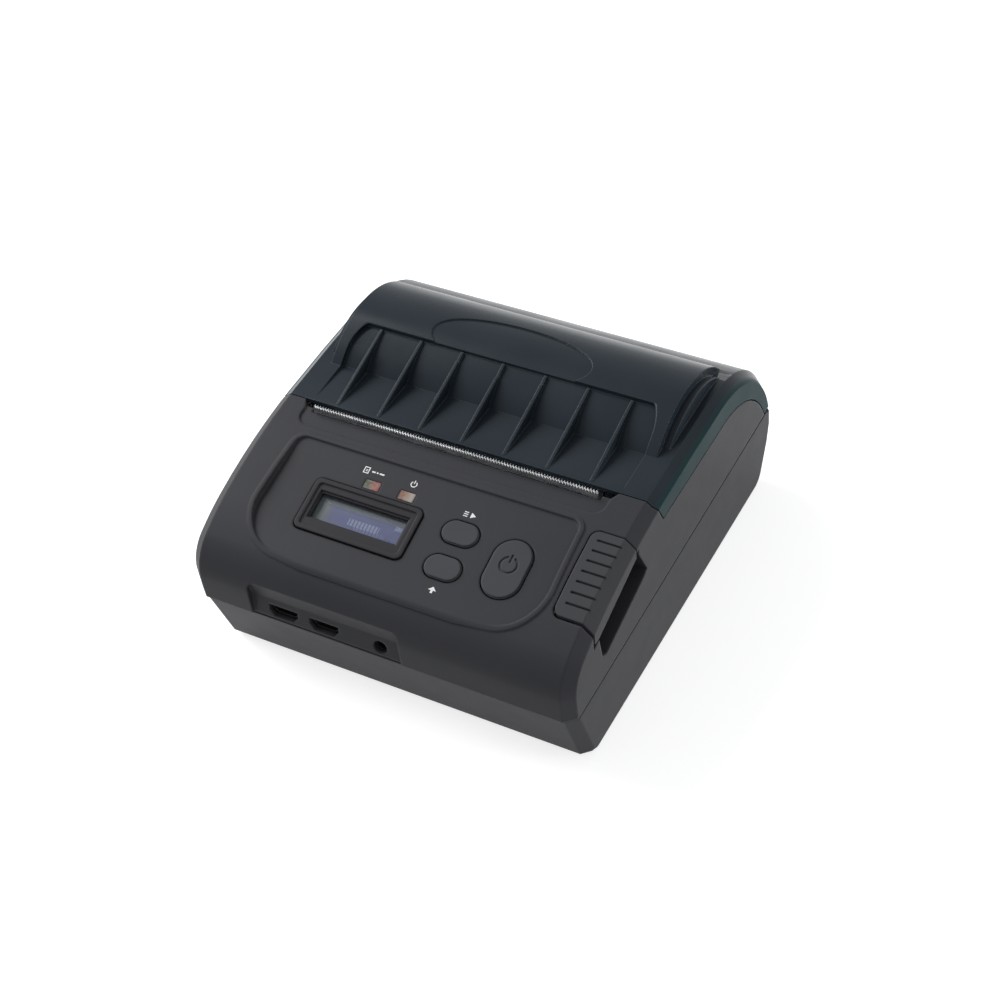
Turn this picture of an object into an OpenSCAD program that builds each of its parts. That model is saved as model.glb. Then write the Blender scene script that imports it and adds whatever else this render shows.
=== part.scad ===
// Portable receipt printer for 80 mm paper: two-part casing, hinged roll cover,
// control panel on the sloping front, print mechanism between panel and roll bay.
// Millimetres, +Z up, +X to the right seen from the front, front faces -Y.
// Origin: middle of the footprint, on the plane the feet stand on.

/* [Casing] */
// Overall width of the casing
case_w = 110; // [108:1:118]
// Width of the bevel strip along each side edge, seen from above
bevel_w = 3; // [2.4:0.2:3.6]
// Drop of the bevel strip, square to the outline
bevel_drop = 2.7; // [2:0.1:3.2]
// Wall of the two casing shells
wall = 2.2; // [1.8:0.1:2.4]
// Height of the seam at the front
seam_front_z = 22.4; // [22:0.2:23.4]
// Rise of the seam towards the back
seam_rise = 2.4; // [1.6:0.2:2.6]
// Height of the widest point of the front nose
nose_z = 30; // [29.4:0.2:30.6]
// Radius of the front nose
nose_r = 12.5; // [12:0.25:13]
// Straight length of the roof before the back curve
roof_len = 36.8; // [35:0.4:38.4]
// Radius of the back curve
back_r = 37.5; // [37:0.25:38]
// How far the bottom edge is set back from the nose
chin = 7.2; // [6:0.2:8]
// Fit gap between pieces that move past each other
gap = 0.35; // [0.3:0.05:0.4]
// Gap around pieces that are pressed or clipped into a seat
seat_gap = 0.1; // [0.05:0.05:0.15]

/* [Underside] */
// Diameter of a rubber foot
foot_d = 9; // [7:0.5:10]
// How far a foot stands out of the floor
foot_out = 0.8; // [0.6:0.1:1.2]
// Thickness of the floor
floor_t = 2.8; // [2.6:0.1:3.2]
// Battery pack width, front to back
batt_w = 36; // [30:1:37]
// Battery pack height
batt_h = 16.2; // [14:0.2:16.4]
// Sliding travel of the battery cover
batt_travel = 6; // [5:0.5:7]

/* [Roll cover] */
// Wall of the see-through cover
lid_t = 2; // [1.8:0.1:2.2]
// Outer radius of the roll dome
dome_r = 28; // [27.6:0.2:28.4]
// Wall of the roll dome
dome_t = 2.4; // [2.2:0.1:2.6]
// Distance of the roll axis behind the nose
roll_y = 83; // [82.6:0.2:83.4]
// Height of the roll axis
roll_z = 32.8; // [32.6:0.1:33]
// Number of gusset fins on the cover
fin_count = 7; // [5:2:9]
// Thickness of a gusset fin
fin_t = 0.8; // [0.7:0.1:1.4]
// Depth that the front of the dome is let in between the fins
foot_in = 1.3; // [0.8:0.1:1.4]
// Distance of the cover's front edge behind the nose
lid_front = 49.6; // [49.4:0.1:50.2]
// Length of the oval recess on the dome
badge_l = 47; // [36:1:56]
// Width of the oval recess, along the dome
badge_w = 19; // [14:0.5:20]

/* [Paper path] */
// Sideways offset of the paper path
feed_x = -1.2; // [-1.6:0.2:-0.8]
// Radius of the rubber platen
platen_r = 4.6; // [4.4:0.1:4.6]
// Radius of the platen shaft
shaft_r = 1.5; // [1.2:0.1:1.8]
// Distance of the platen behind the nose
platen_y = 54.2; // [54.2:0.1:54.4]
// Height of the platen
platen_z = 45.5; // [45.3:0.1:45.6]
// Gear module
gear_m = 0.5; // [0.5:0.05:0.55]
// Teeth of the platen gear
platen_teeth = 18; // [16:1:18]
// Teeth of the idler
idler_teeth = 22; // [20:1:22]
// Teeth of the motor pinion
pinion_teeth = 12; // [12:1:13]
// Thickness of the gears
gear_t = 2.4; // [2:0.2:2.6]
// Pitch of the tear bar teeth
tear_pitch = 0.8; // [0.8:0.1:2]

/* [Control panel] */
// Pitch of the panel face
panel_pitch = 16.5; // [16:0.25:17]
// Depth of the panel face under the roof outline, at its middle
panel_drop = 1.4; // [1.2:0.1:1.5]
// Distance of the panel middle behind the nose
panel_y = 20; // [19.8:0.1:20.2]
// Display frame size, left to right
disp_l = 31.4; // [29:0.2:33]
// Display frame size, along the slope
disp_w = 15; // [13.6:0.2:15.4]
// Window size, left to right
view_l = 25.4; // [22:0.2:26]
// Window size, along the slope
view_w = 7.4; // [6:0.2:8.4]
// Width of the mode and feed buttons
key_l = 10; // [8:0.25:10.5]
// Height of the mode and feed buttons, along the slope
key_w = 6.6; // [5.5:0.1:7]
// Width of the power button
power_l = 10.4; // [9:0.2:11]
// Height of the power button, along the slope
power_w = 16.6; // [14:0.2:17]
// Travel of each button
key_travel = 0.8; // [0.5:0.1:0.9]

/* [Release lever] */
// Width of the lever, seen from above
lever_w = 11.2; // [10.6:0.1:11.6]
// Front end of the lever behind the nose
lever_y0 = 12.9; // [12.6:0.1:13.4]
// Back end of the lever behind the nose
lever_y1 = 36.8; // [36:0.1:37.4]
// Thickness of the lever skin
lever_t = 2.2; // [2:0.1:2.4]
// Number of grip grooves
groove_count = 7; // [5:1:9]
// Rounding of the lever's inner corners
lever_r = 2.2; // [1.6:0.2:2.6]

/* [Hidden] */
$fn = 64;

hw = case_w / 2;
bw = hw - bevel_w;
e = 0.01;
// what the casing needs beside the paper, the battery and the dome
paper_side = 30.5;
batt_side = 44;
dome_side = 7;
paper_w = case_w - paper_side;
batt_l = case_w - batt_side;
dome_half = hw - dome_side;
lever_x = hw - lever_w;

// outline of the body seen from the side: [radius, turn] for each tangent arc,
// walked from the seam over the nose and the roof and down the back
lean = 14;
nose_top = 30;
roof_r1 = 60;
roof_turn1 = 11.6;
roof_r2 = 140;
roof_turn2 = 15;
roof_turn3 = nose_top - roof_turn1 - roof_turn2;
roof_r3 = roof_len / sin(roof_turn3);
lean_r = (nose_z - 22) / sin(lean);
arcs = [[lean_r, lean], [nose_r, 90 - nose_top], [roof_r1, roof_turn1],
  [roof_r2, roof_turn2], [roof_r3, roof_turn3], [back_r, 100]];

function arc_c(p, h, r) = p + r * [sin(h), -cos(h)];
function arc_p(p, h, r, t) = arc_c(p, h, r) + r * [-sin(h - t), cos(h - t)];
function arc_n(r, t) = max(2, ceil(t / (r < 40 ? 5 : 2.5)));
// points of the outline, moved inwards by d
function walk(i, p, h, d) = i == len(arcs) ? [] :
  let (r = arcs[i][0] - d, t = arcs[i][1], n = arc_n(r, t))
  concat([for (k = [1:n]) arc_p(p, h, r, t * k / n)],
    walk(i + 1, arc_p(p, h, r, t), h - t, d));
start_h = 90 + lean;
function start_p(d) = [0, 22] + d * [sin(start_h), -cos(start_h)];
function outline(d) = concat([start_p(d)], walk(0, start_p(d), start_h, d));
top_pts = outline(0);
back_y = max([for (p = top_pts) p[0]]);
tray_in = 0.4;
mid_y = (min([for (p = top_pts) p[0]]) + back_y - tray_in) / 2;
// roof height at a distance behind the nose
roof_pts = [for (p = top_pts) if (p[1] > nose_z && p[0] < 92) p];

function top_z(y) = lookup(y, roof_pts);
function seam_z(y) = seam_front_z + seam_rise * y / 126;

// cover: zone outline on the side, axis of its hinge
lid_low = 45;
side_arc_r = 32;
side_arc_y = 90;
side_arc_z = lid_low - side_arc_r + 0.05;
hinge_y = back_y - 3.4;
hinge_z = 26.2;
barrel_r = 2.5;
pin_r = 1;
arm_w = 5;
arm_x = [-33, 28];

// panel frame: middle point and slope
panel_z = top_z(panel_y) - panel_drop;
disp_x = case_w * -0.1373;
disp_v = 1.1;
bead_h = 0.35;
bead_w = 1.3;
key_x = case_w * 0.111;
mode_v = 5.7;
feed_v = -4.5;
power_x = case_w * 0.2527;
power_v = 0.5;
lamp_l = 4.4;
lamp_w = 2.5;
lamp_v = 11;
paper_lamp_x = case_w * -0.1473;
power_lamp_x = case_w * -0.0545;
board_v = -9.2;
board_t = 1.6;
board_posts = [[disp_x - 15.9, 12.2], [power_x + 7.8, 12.2],
  [power_x + 7.8, -10], [key_x - 7.2, -10]];
pad_t = 3.4;
key_out = 0.6;
stem_l = 1.6;
switch_h = -pad_t - stem_l - key_travel - 0.3 - board_v;
stud_r = 1.2;

// print mechanism
path_half = paper_w / 2;
bay_half = path_half + 1.4;
bay_r = dome_r - dome_t;
bay_t = 1.6;
web_spots = [70, 100];
web_z = 28;
rail_l = 3;
plate_t = 1.5;
lug_in = bay_half + 0.5;
lug_t = 2;
plate_in = lug_in + lug_t + 0.5;
plate_out = plate_in + plate_t;
bearing_r = 3.4;
gear_in = plate_out + 0.5;
gear_gap = 0.06;
function mesh_d(a, b) = gear_m * (a + b) / 2 + gear_gap;
idler_dir = 248;
idler_y = platen_y + mesh_d(platen_teeth, idler_teeth) * cos(idler_dir);
idler_z = platen_z + mesh_d(platen_teeth, idler_teeth) * sin(idler_dir);
pinion_dir = 232;
motor_y = idler_y + mesh_d(idler_teeth, pinion_teeth) * cos(pinion_dir);
motor_z = idler_z + mesh_d(idler_teeth, pinion_teeth) * sin(pinion_dir);
// turn of a gear so that it meshes with gear a, which it follows in direction dir
function mesh_turn(dir, a, turn_a, b) = ((90 - dir - turn_a) % (360 / a)) * a / b - 90 - dir - 180 / b;
idler_turn = mesh_turn(idler_dir, platen_teeth, 0, idler_teeth);
pinion_turn = mesh_turn(pinion_dir, idler_teeth, idler_turn, pinion_teeth);
motor_r = 7;
motor_l = 16;
head_gap = 0.3;
head_back = platen_y - platen_r - head_gap;
head_t = 3;
head_front = head_back - head_t;
head_z0 = 37.6;
head_z1 = 47;
trunnion_r = 1;
trunnion_y = head_back - head_t / 2;
trunnion_z = head_z0 + 1.4;
slot_y0 = 46;
slot_half = path_half + 2.6;
bar_half = path_half + 1.75;
wall_y = head_front - 4.6;

// battery bay and boards
cover_t = 1.6;
cover_y0 = 10.6;
rim = 1.4;
pack_y0 = 12.6;
pack_z0 = foot_out + 0.1 + cover_t + 0.15;
bay_top = pack_z0 + batt_h + 0.3;
pcb_z = bay_top + 1.5 + 1;
pcb_t = 1.6;
port_y = 0.8;
port_top = 34;
port_x0 = -37.4;
port_x1 = 7;
left_port_x = -28.3;
right_port_x = -16.1;
jack_x = 0.5;
pcb_top = -1.6;
port_z = pcb_z + pcb_t - pcb_top;
board_half = hw - 19;
board_y = 5;
screw_spots = [[14.2 - hw, 14], [hw - 14.2, 14], [6.6 - hw, 111], [hw - 6.6, 111]];
post_r = 3.2;
screw_r = 1.2;
foot_spots = [[6 - hw, 13.4], [hw - 6, 13.4], [8 - hw, 100], [hw - 8, 100]];

// release lever
lever_ax_y = lever_y0 + 2;
lever_ax_z = top_z(lever_ax_y) - 2.7;
lever_end_r = 1.7;
lever_pin_r = 0.8;
spring_r = 1.15;
spring_wire = 0.2;
lever_front_gap = 0.8;
arm_x0 = lever_x + 1.9;
arm_x1 = lever_x + 3.5;
finger_x = hw - 5.6;
lug_t_lever = 1.7;
frame_z0 = motor_z - motor_r - 1.6;

module shift() { translate([0, -mid_y, 0]) children(); }
// extrude a side view (front-back, height) over a left-right span
module across(x0, x1) {
  translate([x0, 0, 0]) rotate([90, 0, 90]) linear_extrude(x1 - x0) children();
}
module side_view(d) {
  pts = outline(d);
  polygon(concat([[pts[0][0], 12]], pts, [[pts[len(pts) - 1][0], 12]]));
}
// whole upper body, walls moved inwards by d
module body_form(d) {
  hull() {
    across(-bw + d * 0.5, bw - d * 0.5) side_view(d);
    across(-hw + d, hw - d) side_view(d + bevel_drop);
  }
}
module above_seam(g) {
  across(-hw - 9, hw + 9)
    polygon([[-9, seam_z(-9) + g], [150, seam_z(150) + g], [150, 90], [-9, 90]]);
}
module below_seam() {
  across(-hw - 9, hw + 9)
    polygon([[-9, seam_z(-9)], [150, seam_z(150)], [150, -9], [-9, -9]]);
}
// side view of the space that the cover takes, grown by g
module lid_zone(g) {
  low = seam_z(110) - g * 4 + gap;
  polygon([[lid_front - g, 90], [lid_front - g, top_z(lid_front) - 1.2],
    [lid_front + 3.2 - g, lid_low - g], [150, lid_low - g], [150, 90]]);
  difference() {
    polygon([[side_arc_y, lid_low + 1], [side_arc_y, low], [150, low + seam_rise * 40 / 126],
      [150, lid_low + 1]]);
    translate([side_arc_y, side_arc_z]) circle(side_arc_r - g, $fn = 128);
  }
}
module stadium(l, w) {
  r = min(l, w) / 2;
  for (s = [-1, 1]) translate([s * (l / 2 - r), s * (w / 2 - r)]) circle(r);
  square(l > w ? [l - 2 * r, w] : [l, w - 2 * r], center = true);
}
module round_rect(l, w, r) {
  square([l - 2 * r, w], center = true);
  square([l, w - 2 * r], center = true);
  for (i = [-1, 1], j = [-1, 1])
    translate([i * (l / 2 - r), j * (w / 2 - r)]) circle(r, $fn = 32);
}
// local frame on the panel face: u to the right, v up the slope
module on_panel(u, v) {
  translate([0, panel_y, panel_z]) rotate([panel_pitch, 0, 0]) translate([u, v, 0]) children();
}
module tube(ro, ri, h) {
  difference() {
    cylinder(r = ro, h = h);
    translate([0, 0, -1]) cylinder(r = ri, h = h + 2);
  }
}
module x_rod(r, x0, x1, y, z) {
  translate([x0, y, z]) rotate([0, 90, 0]) cylinder(r = r, h = x1 - x0);
}
// helical wire along +Z, ends ground flat by straight stubs
module coil(r, w, pitch, turns) {
  sides = 6;
  per = 14;
  n = ceil(turns * per);
  ring = [for (i = [0:n], k = [0:sides - 1])
    let (a = i * 360 / per, b = k * 360 / sides + 30, q = r + w * cos(b))
    [q * cos(a), q * sin(a), w + i * pitch / per + w * sin(b)]];
  skin = [for (i = [0:n - 1], k = [0:sides - 1])
    let (a = i * sides + k, b = i * sides + (k + 1) % sides)
    each [[a, b, b + sides], [a, b + sides, a + sides]]];
  ends = [[for (k = [sides - 1:-1:0]) k], [for (k = [0:sides - 1]) n * sides + k]];
  polyhedron(ring, concat(skin, ends), convexity = 8);
}
module gear(teeth, t, bore) {
  rp = gear_m * teeth / 2;
  ro = rp + gear_m * 0.9;
  ri = rp - gear_m * 1.15;
  a = 360 / teeth;
  difference() {
    union() {
      cylinder(r = ri, h = t);
      for (i = [0:teeth - 1]) rotate(i * a)
        linear_extrude(t) polygon([[ri - 0.3, -gear_m], [rp, -gear_m * 0.72],
          [ro, -gear_m * 0.36], [ro, gear_m * 0.36], [rp, gear_m * 0.72], [ri - 0.3, gear_m]]);
    }
    translate([0, 0, -1]) cylinder(r = bore, h = t + 2);
  }
}

// lower casing
// side view of the tray, ends moved in by d, floor at height b
function low_pts(d, b) = let (r = 2.6, k = 4.8, n = 6,
    slant = atan2(seam_front_z - b, chin),
    c = [chin + d + r * tan(slant / 2), b + r],
    q = [back_y - 10.1 - d, b + k]) concat(
  [[d, 40], [d, seam_front_z]],
  [for (i = [0:n]) let (a = 270 - slant + i * slant / n) c + r * [cos(a), sin(a)]],
  [for (i = [0:n]) let (a = 270 + i * 70 / n) q + k * [cos(a), sin(a)]],
  [[back_y - 1.9 - d, 12.8], [back_y - tray_in - d, 18.6], [back_y - 0.9 - d, 25],
    [back_y - 1.6 - d, 40]]);
module low_form(d, b) {
  hull() {
    across(-bw + d * 0.5, bw - d * 0.5) polygon(low_pts(d, b));
    across(-hw + d + 0.9, hw - d - 0.9) polygon(low_pts(d + bevel_drop * 0.75, b));
    across(-hw + d, hw - d) polygon(low_pts(d + bevel_drop, b + 1));
  }
}
module screw_post(x, y) {
  translate([x, y, foot_out]) cylinder(r = post_r, h = seam_z(y) - foot_out);
}
module battery_cover_form(g) {
  l = batt_l + 9;
  y0 = cover_y0 - g;
  y1 = cover_y0 + batt_w + 5.6 + g;
  translate([-l / 2 - g, y0, 0]) cube([l + 2 * g, y1 - y0, foot_out + 0.1 + cover_t + g * 0.4]);
  translate([-l / 2 - 1 - g, y0 + 3 - 2 * g, foot_out + 0.7 - g * 0.3])
    cube([l + 2 + 2 * g, y1 - y0 - 6 + 4 * g, cover_t - 0.6 + g * 0.7]);
}
module lower_case() {
  color("#3a3c40") shift() difference() {
    union() {
      difference() {
        intersection() { low_form(0, foot_out); below_seam(); }
        difference() {
          low_form(wall, foot_out + floor_t);
          // walls and roof of the battery bay
          translate([-batt_l / 2 - 0.3 - rim, pack_y0 - 0.3 - rim, 0])
            cube([batt_l + 0.6 + 2 * rim, batt_w + 0.6 + 2 * rim, bay_top + 1.5]);
        }
      }
      intersection() {
        for (p = screw_spots) screw_post(p[0], p[1]);
        low_form(e, foot_out);
      }
      // stand-offs for the main board
      for (x = [-1, 1] * (board_half - 4), y = [pack_y0 + 2, 30])
        translate([x, y, bay_top + 1]) cylinder(r = 2, h = pcb_z - bay_top - 1);
      // bearer rib under the print frame
      translate([-plate_out + feed_x + 2, wall_y + 10, foot_out + 1])
        cube([2 * plate_out - 4, 1.6, frame_z0 - foot_out - 1]);
    }
    // battery bay, open at the bottom
    translate([-batt_l / 2 - 0.3, pack_y0 - 0.3, -1]) cube([batt_l + 0.6, batt_w + 0.6, bay_top + 1]);
    // recess that the cover slides in
    cover_path();
    for (p = screw_spots) {
      translate([p[0], p[1], -1]) cylinder(r = 2.5, h = 14);
      translate([p[0], p[1], 0]) cylinder(r = screw_r + 0.3, h = 40);
    }
    for (p = foot_spots) translate([p[0], p[1], 0]) cylinder(d = foot_d + 2 * seat_gap, h = foot_out + 1.2);
    // shadow groove along the seam
    difference() {
      across(-hw - 9, hw + 9) polygon([[-9, seam_z(-9) - 0.5], [150, seam_z(150) - 0.5], [150, 60], [-9, 60]]);
      low_form(0.5, foot_out);
    }
    // clearance round the hinge barrel
    x_rod(barrel_r + gap, -hw - 1, hw + 1, hinge_y, hinge_z);
  }
}
module cover_path() {
  battery_cover_form(0.2);
  translate([0, batt_travel, 0]) battery_cover_form(0.2);
}
module battery_cover() {
  color("#34363a") shift() difference() {
    union() {
      intersection() {
        battery_cover_form(0);
        translate([-60, 0, foot_out + 0.1]) cube([120, 90, 9]);
      }
    }
    // thumb ribs
    for (i = [0:4]) translate([-9, cover_y0 + 30 + i * 2, foot_out]) cube([18, 0.9, 0.6]);
  }
}
module battery_pack() {
  color("#2c3f63") shift() translate([0, pack_y0 + batt_w / 2, pack_z0]) {
    difference() {
      across(-batt_l / 2, batt_l / 2) translate([0, batt_h / 2]) round_rect(batt_w, batt_h, 3);
      // groove between the two cells
      across(-batt_l / 2 + 3, batt_l / 2 - 3) translate([0, batt_h]) rotate(45) square(3, center = true);
      // contact end
      for (i = [-1:1]) translate([batt_l / 2 - 1, i * 5 - 1.5, batt_h - 5]) cube([2, 3, 3]);
    }
  }
}
module rubber_feet() {
  color("#202124") shift() for (p = foot_spots) translate([p[0], p[1], 0]) {
    translate([0, 0, 0.4]) cylinder(d = foot_d, h = foot_out + 0.8);
    cylinder(d1 = foot_d - 0.8, d2 = foot_d, h = 0.4);
  }
}
module case_screws() {
  color("#8d9096") shift() for (p = screw_spots) {
    z1 = seam_z(p[1]) + 8;
    translate([p[0], p[1], 13 - 1.7]) difference() {
      cylinder(r = 2.2, h = 1.7);
      translate([0, 0, -1]) {
        translate([-1.5, -0.3, 0]) cube([3, 0.6, 2]);
        translate([-0.3, -1.5, 0]) cube([0.6, 3, 2]);
      }
    }
    translate([p[0], p[1], 13 - e]) cylinder(r = screw_r, h = z1 - 13);
  }
}

// boards and sockets
module main_board() {
  color("#1f6b43") shift() difference() {
    union() {
      translate([-board_half, board_y, pcb_z]) cube([2 * board_half, 30, pcb_t]);
      translate([6, 14, pcb_z + pcb_t - e]) cube([12, 12, 1.4]);
      translate([board_half * 0.6, 16, pcb_z + pcb_t - e]) cube([9, 7, 1.2]);
      translate([-8, 20, pcb_z + pcb_t - e]) cube([8, 6, 1.2]);
      for (i = [0:2]) translate([6 - board_half + i * 7, 24, pcb_z + pcb_t - e]) cylinder(r = 2.5, h = 5);
      translate([board_half * 0.28, 29, pcb_z + pcb_t - e]) cube([board_half * 0.6, 3.2, 2.6]);
    }
    for (x = [-1, 1] * (board_half - 4), y = [pack_y0 + 2, 30])
      translate([x, y, pcb_z - 1]) cylinder(r = 1, h = 4);
  }
}
module trapezoid(l, h, s) {
  polygon([[-l / 2, h / 2], [l / 2, h / 2], [l / 2, 0], [l / 2 - s, -h / 2], [-l / 2 + s, -h / 2], [-l / 2, 0]]);
}
module data_socket(x) {
  translate([x, port_y + 1, port_z]) rotate([90, 0, 180]) {
    linear_extrude(9) difference() {
      trapezoid(8.2, 3.2, 1.4);
      trapezoid(7.4, 2.4, 1.2);
    }
    translate([0, 0, 8 - e]) linear_extrude(1) trapezoid(8, 3, 1.3);
    translate([0, 0, 3]) linear_extrude(6) translate([-2.6, -0.2]) square([5.2, 0.8]);
    translate([0, 0, 4]) linear_extrude(5) translate([-3, pcb_top]) square([6, 0.6]);
  }
}
module left_data_socket() { color("#1b1c1e") shift() data_socket(left_port_x); }
module right_data_socket() { color("#1b1c1e") shift() data_socket(right_port_x); }
module power_jack() {
  color("#1b1c1e") shift() translate([jack_x, port_y + 1, port_z]) rotate([90, 0, 180]) difference() {
    translate([-3, pcb_top, 0]) cube([6, 3.8, 11]);
    translate([0, 0.2, -1]) cylinder(r = 1.75, h = 9.5);
  }
  color("#b9b9b4") shift() translate([jack_x, port_y + 1, port_z]) rotate([90, 0, 180])
    translate([0, 0.2, 1]) cylinder(r = 0.5, h = 8);
}

// upper casing
module panel_plan() {
  hull() {
    for (x = [15.9 - hw, hw - 17.7]) translate([x, 34.8]) circle(3, $fn = 32);
    for (x = [23.8 - hw, hw - 26.2]) translate([x, 17.8]) circle(12, $fn = 48);
    for (x = [41 - hw, hw - 44]) translate([x, 12.1]) circle(8, $fn = 48);
  }
}
module pocket_plan() {
  w = bar_half + 3.1;
  for (s = [-1, 1]) translate([feed_x + s * (w - 3.5), 44.6]) circle(3.5, $fn = 32);
  translate([feed_x - w + 3.5, 41.1]) square([2 * w - 7, 5]);
  translate([feed_x, 0]) polygon([[-w, 44.6], [w, 44.6], [w, 46.8], [w + 2.6, lid_front + 2],
    [-w - 2.6, lid_front + 2], [-w, 46.8]]);
}
module key_holes(g) {
  on_panel(key_x, mode_v) translate([0, 0, -6]) linear_extrude(12) stadium(key_l + 2 * g, key_w + 2 * g);
  on_panel(key_x, feed_v) translate([0, 0, -6]) linear_extrude(12) stadium(key_l + 2 * g, key_w + 2 * g);
  on_panel(power_x, power_v) translate([0, 0, -6]) linear_extrude(12) stadium(power_l + 2 * g, power_w + 2 * g);
}
// plan of the lever, from its inner edge past the side wall
module lever_bay(g) {
  y0 = lever_y0 - (g > 0 ? lever_front_gap : 0);
  y1 = lever_y1 + g;
  r = lever_r + g;
  x = lever_x - g + r;
  translate([x, y0, 0]) cube([lever_w + 4, y1 - y0, 90]);
  translate([x - r, y0 + r, 0]) cube([r + 1, y1 - y0 - 2 * r, 90]);
  for (y = [y0 + r, y1 - r]) translate([x, y, 0]) cylinder(r = r, h = 90, $fn = 32);
}
// side view of the lip that the lever folds down over the side wall
lip_front = [lever_y0, 37.2];
lip_back = [lever_y1, 45.4];
module lip_side(g) {
  polygon([[lever_y0 - 1, lip_front[1] - g * 1.2], [lever_y1 + g, lip_back[1] - g * 1.2],
    [lever_y1 + g, 90], [lever_y0 - 1, 90]]);
}
// slanting finger recess in the side wall under the lever
module finger_side() {
  polygon([[lip_front[0] + 1.9, lip_front[1] + 2], [lever_y1 + 1.4, lip_back[1] + 2],
    [lever_y1 + 1.4, 45.6], [42.6, 36.6], [40.4, 35.2], [18.6, 29.3], [16.4, 30.4]]);
}
module shell_part() {
  difference() {
    body_form(0);
    body_form(wall);
    across(-hw - 5, hw + 5) lid_zone(gap);
  }
}
module bay_tub() {
  intersection() {
    difference() {
      x_rod(bay_r + bay_t, feed_x - bay_half - bay_t, feed_x + bay_half + bay_t, roll_y, roll_z);
      x_rod(bay_r, feed_x - bay_half, feed_x + bay_half, roll_y, roll_z);
    }
    across(-hw, hw) polygon([[50, 0], [50, 38], [61, 38], [64, 44], [101, 44], [108, 36], [113, 28], [113, 0]]);
  }
  // guide lip that hands the paper to the platen
  across(feed_x - bay_half - bay_t, feed_x + bay_half + bay_t)
    polygon([[roll_y - 26.9, 31], [roll_y - 25.4, 31], [roll_y - 24, 38.4], [roll_y - 25.6, 38.4]]);
}
module hinge_arm(x) {
  difference() {
    union() {
      across(x, x + arm_w) polygon([[106.2, 20], [hinge_y, hinge_z - barrel_r], [hinge_y, hinge_z + barrel_r - 0.6], [109.4, 30]]);
      x_rod(barrel_r, x, x + arm_w, hinge_y, hinge_z);
    }
    x_rod(pin_r + 0.02, x - 1, x + arm_w + 2, hinge_y, hinge_z);
  }
}
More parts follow.
